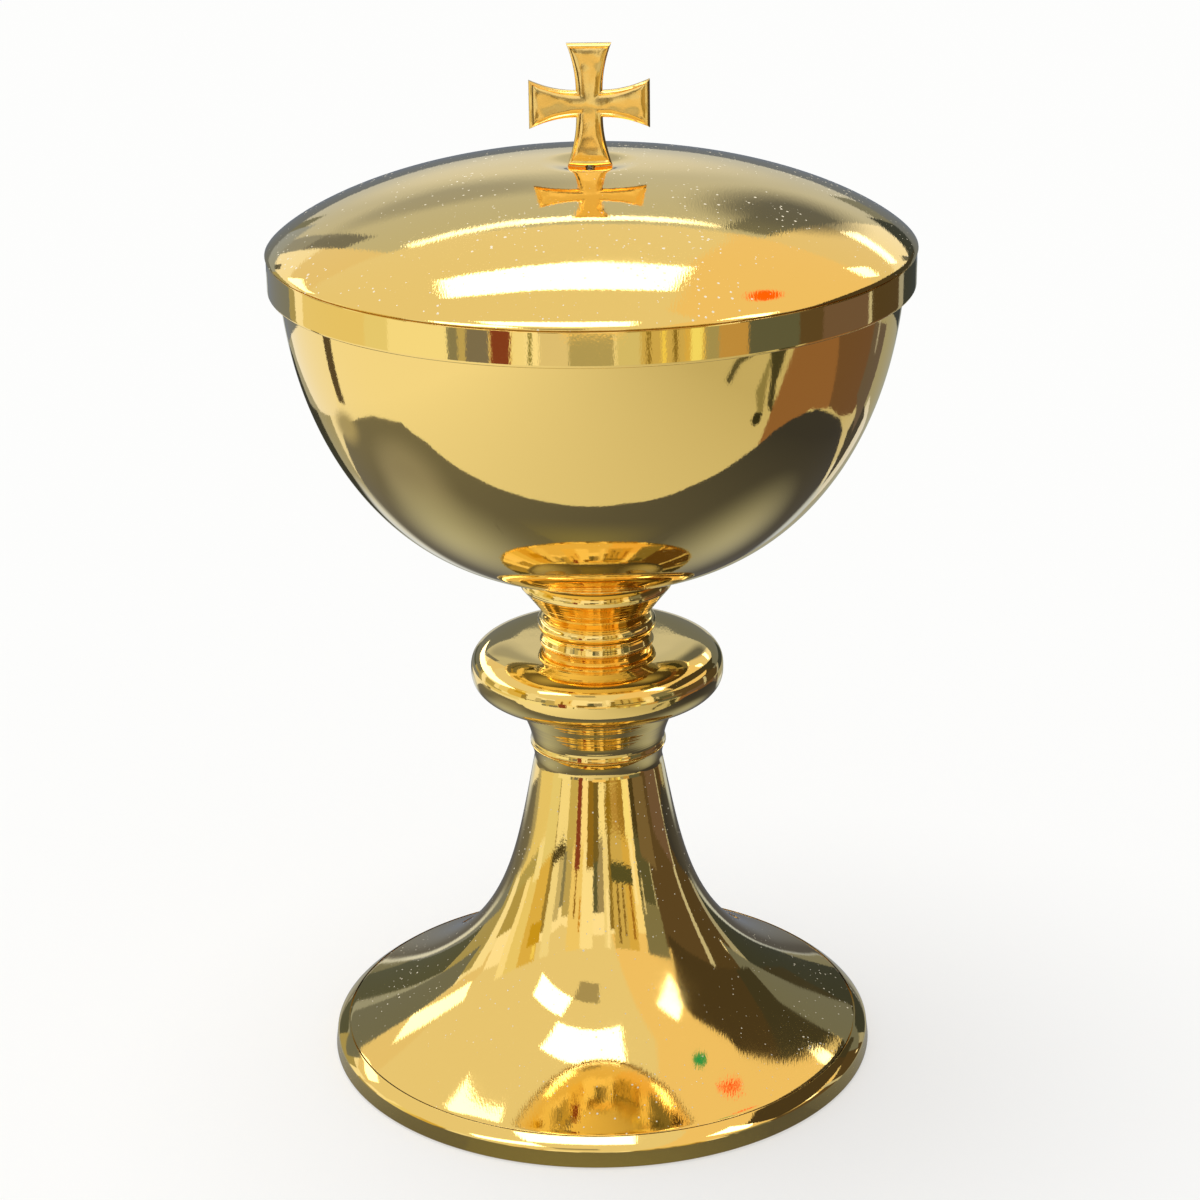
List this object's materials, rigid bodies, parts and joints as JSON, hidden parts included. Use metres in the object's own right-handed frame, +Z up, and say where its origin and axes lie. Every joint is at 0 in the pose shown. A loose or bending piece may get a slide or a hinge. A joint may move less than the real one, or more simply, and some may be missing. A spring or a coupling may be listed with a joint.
{
  "type": "ciborium",
  "caption": "Covered ciborium: deep round cup, low domed lid with a cross, knop stem on a wide trumpet foot.",
  "frame": {"origin": "centre of the foot's underside, on the table", "axes": "+Z up along the stem; the cross's flat face looks to -Y, the front; +X is to the right seen from the front"},
  "size_m": [0.1386, 0.1386, 0.2311],
  "materials": {
    "polished_gold": "mirror-polished gold plate on brass",
    "satin_gold": "satin-turned gold plate on brass, shoulder polished",
    "plain_brass": "plain turned brass, hidden pieces",
    "steel": "plain zinc-coated steel fastener"
  },
  "bodies": {
    "vessel": {"base_ring": "satin_gold", "foot_shell": "polished_gold", "foot_plate": "plain_brass", "foot_washer": "plain_brass", "lock_washer": "steel", "foot_nut": "steel", "lower_collar": "polished_gold", "knop_lower_shell": "polished_gold", "knop_upper_shell": "polished_gold", "knop_spacer": "plain_brass", "upper_neck": "polished_gold", "bead_ring": "polished_gold", "calyx_collar": "polished_gold", "cup_boss": "plain_brass", "tie_rod": "steel", "cup": "polished_gold"},
    "lid_seat": {"lid_seat_ring": "polished_gold"},
    "lid_cover": {"lid_dome": "polished_gold", "lid_band": "polished_gold", "cross_finial": "polished_gold", "finial_stud": "plain_brass", "finial_washer": "plain_brass", "finial_nut": "plain_brass"}
  },
  "joints": [
    {"name": "lid_lift", "type": "slide", "parent": "vessel", "child": "lid_seat", "axis": [0, 0, 1], "range_m": [0, 0.1]},
    {"name": "lid_turn", "type": "hinge", "parent": "lid_seat", "child": "lid_cover", "pos_m": [0, 0, 0.188], "axis": [0, 0, 1], "continuous": true}
  ]
}
